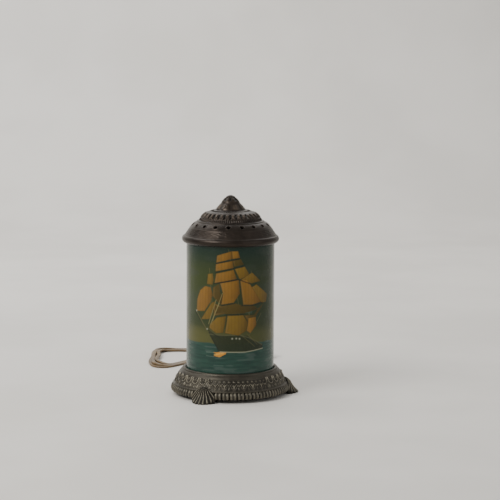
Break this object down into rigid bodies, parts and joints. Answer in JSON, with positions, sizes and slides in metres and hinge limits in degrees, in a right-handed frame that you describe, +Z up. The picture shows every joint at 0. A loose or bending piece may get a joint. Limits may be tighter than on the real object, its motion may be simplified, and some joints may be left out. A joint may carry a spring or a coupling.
{
  "type": "motion lamp",
  "caption": "Heat-driven motion lamp: cast shell-footed base, painted glass cylinder with a ship scene, turning inner sleeve on a needle, and a vented cast cap.",
  "frame": {"origin": "on the lamp's axis at the height of the table it stands on", "axes": "+Z up along the axis the rotor turns on; the front of the painted scene faces -Y; +X is to the right of someone looking at the front"},
  "size_m": [0.2113, 0.3986, 0.2593],
  "materials": {
    "base_bronze": "aged bronze finish on cast metal, worn bright on the high spots",
    "cap_bronze": "dark brown bronze finish on cast metal",
    "painted_glass": "reverse-painted glass cylinder, glossy outside",
    "plain_steel": "plain zinc-plated steel",
    "brass": "dulled brass",
    "insulating_paper": "vulcanised fibre board",
    "black_phenolic": "moulded phenolic",
    "wire_insulation": "rubber-covered wire",
    "polished_steel": "polished steel",
    "black_glass": "black glass insulator",
    "clear_glass": "clear glass",
    "fan_aluminium": "thin stamped aluminium",
    "printed_sleeve": "translucent printed sheet",
    "black_rubber": "moulded rubber",
    "brown_cord": "brown parallel lamp cord",
    "tie_paper": "paper-covered wire",
    "brown_bakelite": "brown moulded plug"
  },
  "bodies": {
    "base": {"base_casting": "base_bronze", "socket_bar": "plain_steel", "bar_screws": "plain_steel", "lamp_nipple": "brass", "nipple_washer": "plain_steel", "nipple_nut": "brass", "socket_cap": "brass", "socket_shell": "brass", "socket_liner": "insulating_paper", "socket_body": "black_phenolic", "terminal_screws": "brass", "screw_shell": "brass", "centre_contact": "brass", "inner_leads": "wire_insulation", "pivot_frame": "plain_steel", "frame_nuts": "brass", "needle_holder": "brass", "pivot_needle": "polished_steel", "cord_bushing": "black_rubber", "cord_lead": "brown_cord", "cord_coil": "brown_cord", "cord_tie": "tie_paper", "plug_lead": "brown_cord", "plug_body": "brown_bakelite", "plug_disc": "insulating_paper", "plug_blades": "brass"},
    "bulb": {"bulb_shell": "brass", "bulb_insulator": "black_glass", "bulb_tip": "plain_steel", "bulb_glass": "clear_glass", "bulb_stem": "clear_glass", "bulb_filament": "polished_steel"},
    "rotor": {"fan_wheel": "fan_aluminium", "pivot_cup": "brass", "motion_sleeve": "printed_sleeve", "top_hoop": "fan_aluminium", "bottom_hoop": "fan_aluminium"},
    "glass": {"scene_cylinder": "painted_glass"},
    "cap": {"cap_casting": "cap_bronze"}
  },
  "joints": [
    {"name": "rotor_spin", "type": "hinge", "parent": "base", "child": "rotor", "pos_m": [0, 0, 0.186], "axis": [0, 0, 1], "continuous": true},
    {"name": "bulb_unscrew", "type": "slide", "parent": "base", "child": "bulb", "axis": [0, 0, 1], "range_m": [0, 0.022]},
    {"name": "glass_lift", "type": "slide", "parent": "base", "child": "glass", "axis": [0, 0, 1], "range_m": [0, 0.165]},
    {"name": "cap_lift", "type": "slide", "parent": "glass", "child": "cap", "axis": [0, 0, 1], "range_m": [0, 0.06]}
  ]
}
